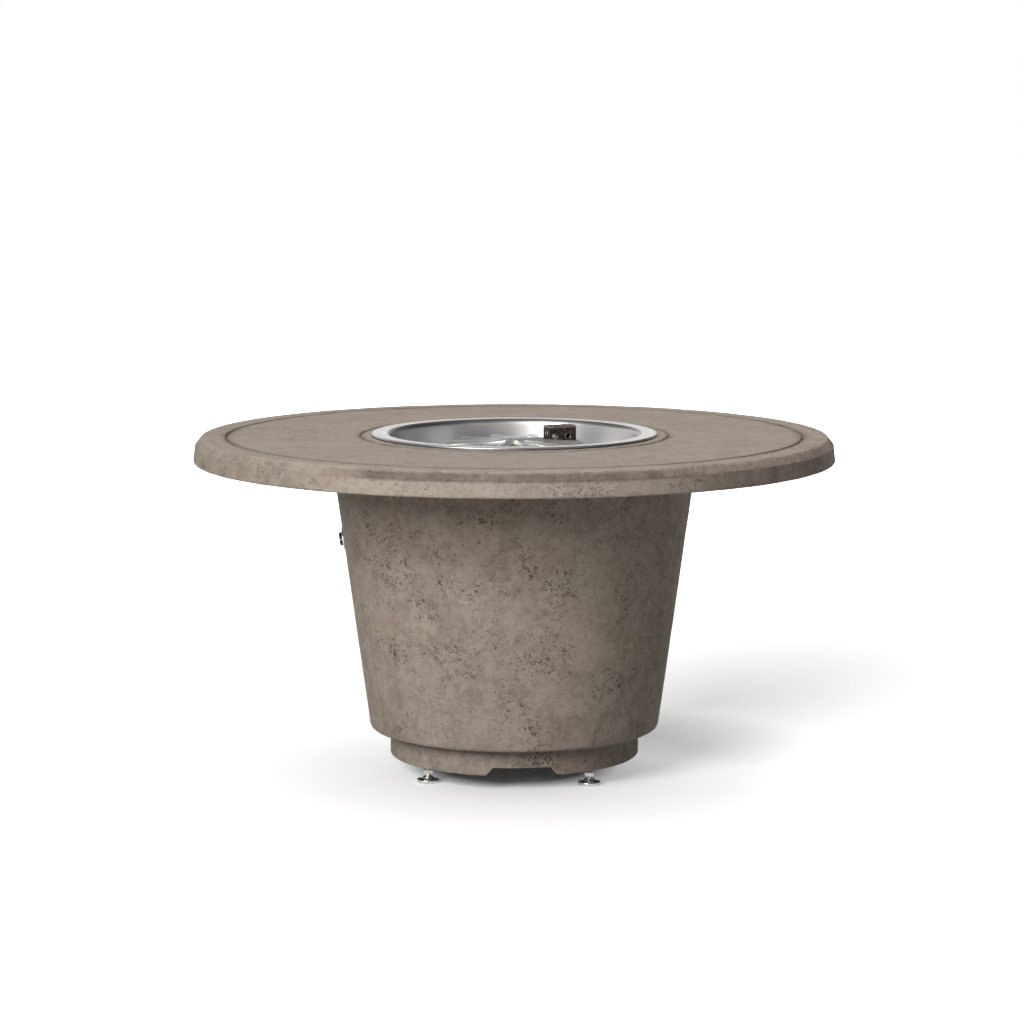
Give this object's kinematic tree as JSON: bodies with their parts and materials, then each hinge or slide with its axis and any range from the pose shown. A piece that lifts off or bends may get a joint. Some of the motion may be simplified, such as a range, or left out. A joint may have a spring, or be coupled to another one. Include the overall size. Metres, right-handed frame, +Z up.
{
  "type": "fire pit table",
  "caption": "Round cast-concrete table on a tapered drum pedestal, with a drop-in steel pan, star gas burner, side control knob, rear access door and levelling feet.",
  "frame": {"origin": "on the floor, on the axis of the round table", "axes": "+Z up along the table's axis, -Y towards the front, +X to the right seen from the front; the control knob is on the -X side and the access door on the +Y side"},
  "size_m": [1.219, 1.2192, 0.659],
  "materials": {
    "cast_concrete": "matt cast concrete, small pits and soft mottling",
    "stainless_pan": "satin stainless sheet",
    "burner_steel": "stainless sheet, tinted by heat",
    "scorched_steel": "dark heat-stained steel sheet",
    "zinc_steel": "bright zinc-plated steel",
    "brass_fitting": "machined brass",
    "cast_mixer": "cast iron, as cast",
    "bright_steel": "bright plated steel",
    "spring_steel": "drawn spring wire",
    "knob_plastic": "satin black, a white pointer line",
    "cup_metal": "satin spun metal",
    "igniter_plastic": "moulded black",
    "button_plastic": "polished black",
    "glazed_insulator": "white glazed",
    "corrugated_steel": "corrugated stainless tube",
    "aluminium_tube": "drawn tube",
    "copper_lead": "copper sheath",
    "lead_sleeve": "silicone sleeve",
    "galvanised_tray": "grey coated sheet steel",
    "stainless_fittings": "brushed stainless",
    "magnet_housing": "moulded housing, two steel pole plates"
  },
  "bodies": {
    "table": {"air_mixer": "cast_mixer", "burner_lock_nut": "zinc_steel", "burner_lower_shell": "burner_steel", "burner_nipple": "brass_fitting", "burner_pan": "stainless_pan", "burner_upper_shell": "burner_steel", "door_magnet": "magnet_housing", "foot_inserts": "brass_fitting", "gas_elbow": "brass_fitting", "gas_inlet_fitting": "brass_fitting", "gas_line": "corrugated_steel", "gas_valve_body": "brass_fitting", "hinge_wall_screws": "zinc_steel", "igniter_housing": "igniter_plastic", "igniter_lead": "lead_sleeve", "igniter_nut": "igniter_plastic", "igniter_spring": "spring_steel", "knob_cup": "cup_metal", "lower_hinge_pin": "stainless_fittings", "lower_hinge_wall_leaf": "stainless_fittings", "pedestal_shell": "cast_concrete", "pilot_bracket": "scorched_steel", "pilot_burner": "zinc_steel", "pilot_screws": "zinc_steel", "pilot_shield": "scorched_steel", "pilot_tube": "aluminium_tube", "spark_electrode": "glazed_insulator", "tabletop": "cast_concrete", "tabletop_bolts": "zinc_steel", "tabletop_inserts": "brass_fitting", "tabletop_washers": "zinc_steel", "tank_tray": "galvanised_tray", "thermocouple": "zinc_steel", "thermocouple_lead": "copper_lead", "upper_hinge_pin": "stainless_fittings", "upper_hinge_wall_leaf": "stainless_fittings", "valve_backing_washer": "zinc_steel", "valve_panel_nut": "zinc_steel"},
    "door": {"access_door": "cast_concrete", "door_handle": "stainless_fittings", "lower_hinge_door_leaf": "stainless_fittings", "upper_hinge_door_leaf": "stainless_fittings", "hinge_door_screws": "zinc_steel", "door_strike": "zinc_steel"},
    "valve_plug": {"valve_plug": "brass_fitting", "stem_spring": "spring_steel"},
    "knob": {"valve_stem": "bright_steel", "control_knob": "knob_plastic"},
    "igniter_button": {"igniter_button": "button_plastic"},
    "foot_front_left": {"foot_pad_front_left": "bright_steel", "foot_stud_front_left": "bright_steel"},
    "foot_front_right": {"foot_pad_front_right": "bright_steel", "foot_stud_front_right": "bright_steel"},
    "foot_back_right": {"foot_pad_back_right": "bright_steel", "foot_stud_back_right": "bright_steel"},
    "foot_back_left": {"foot_pad_back_left": "bright_steel", "foot_stud_back_left": "bright_steel"}
  },
  "joints": [
    {"name": "door_swing", "type": "hinge", "parent": "table", "child": "door", "pos_m": [0.18305, 0.25751, 0.33123], "axis": [-0.0794, -0.1117, -0.9906], "range_deg": [0, 120]},
    {"name": "knob_turn", "type": "hinge", "parent": "table", "child": "valve_plug", "pos_m": [-0.26656, -0.00465, 0.45322], "axis": [-0.9904, -0.0173, -0.1371], "range_deg": [0, 180]},
    {"name": "knob_push", "type": "slide", "parent": "valve_plug", "child": "knob", "axis": [0.9904, 0.0173, 0.1371], "range_m": [0, 0.003], "stiffness_N_per_m": 1000, "springref_m": -0.004, "deforming": ["stem_spring"]},
    {"name": "igniter_push", "type": "slide", "parent": "table", "child": "igniter_button", "axis": [0.9632, -0.2312, 0.1371], "range_m": [0, 0.003], "stiffness_N_per_m": 1500, "springref_m": -0.004, "deforming": ["igniter_spring"]},
    {"name": "foot_height_front_left", "type": "slide", "parent": "table", "child": "foot_front_left", "axis": [0, 0, 1], "range_m": [-0.02, 0.0065]},
    {"name": "foot_height_front_right", "type": "slide", "parent": "table", "child": "foot_front_right", "axis": [0, 0, 1], "range_m": [-0.02, 0.0065]},
    {"name": "foot_height_back_right", "type": "slide", "parent": "table", "child": "foot_back_right", "axis": [0, 0, 1], "range_m": [-0.02, 0.0065]},
    {"name": "foot_height_back_left", "type": "slide", "parent": "table", "child": "foot_back_left", "axis": [0, 0, 1], "range_m": [-0.02, 0.0065]}
  ]
}
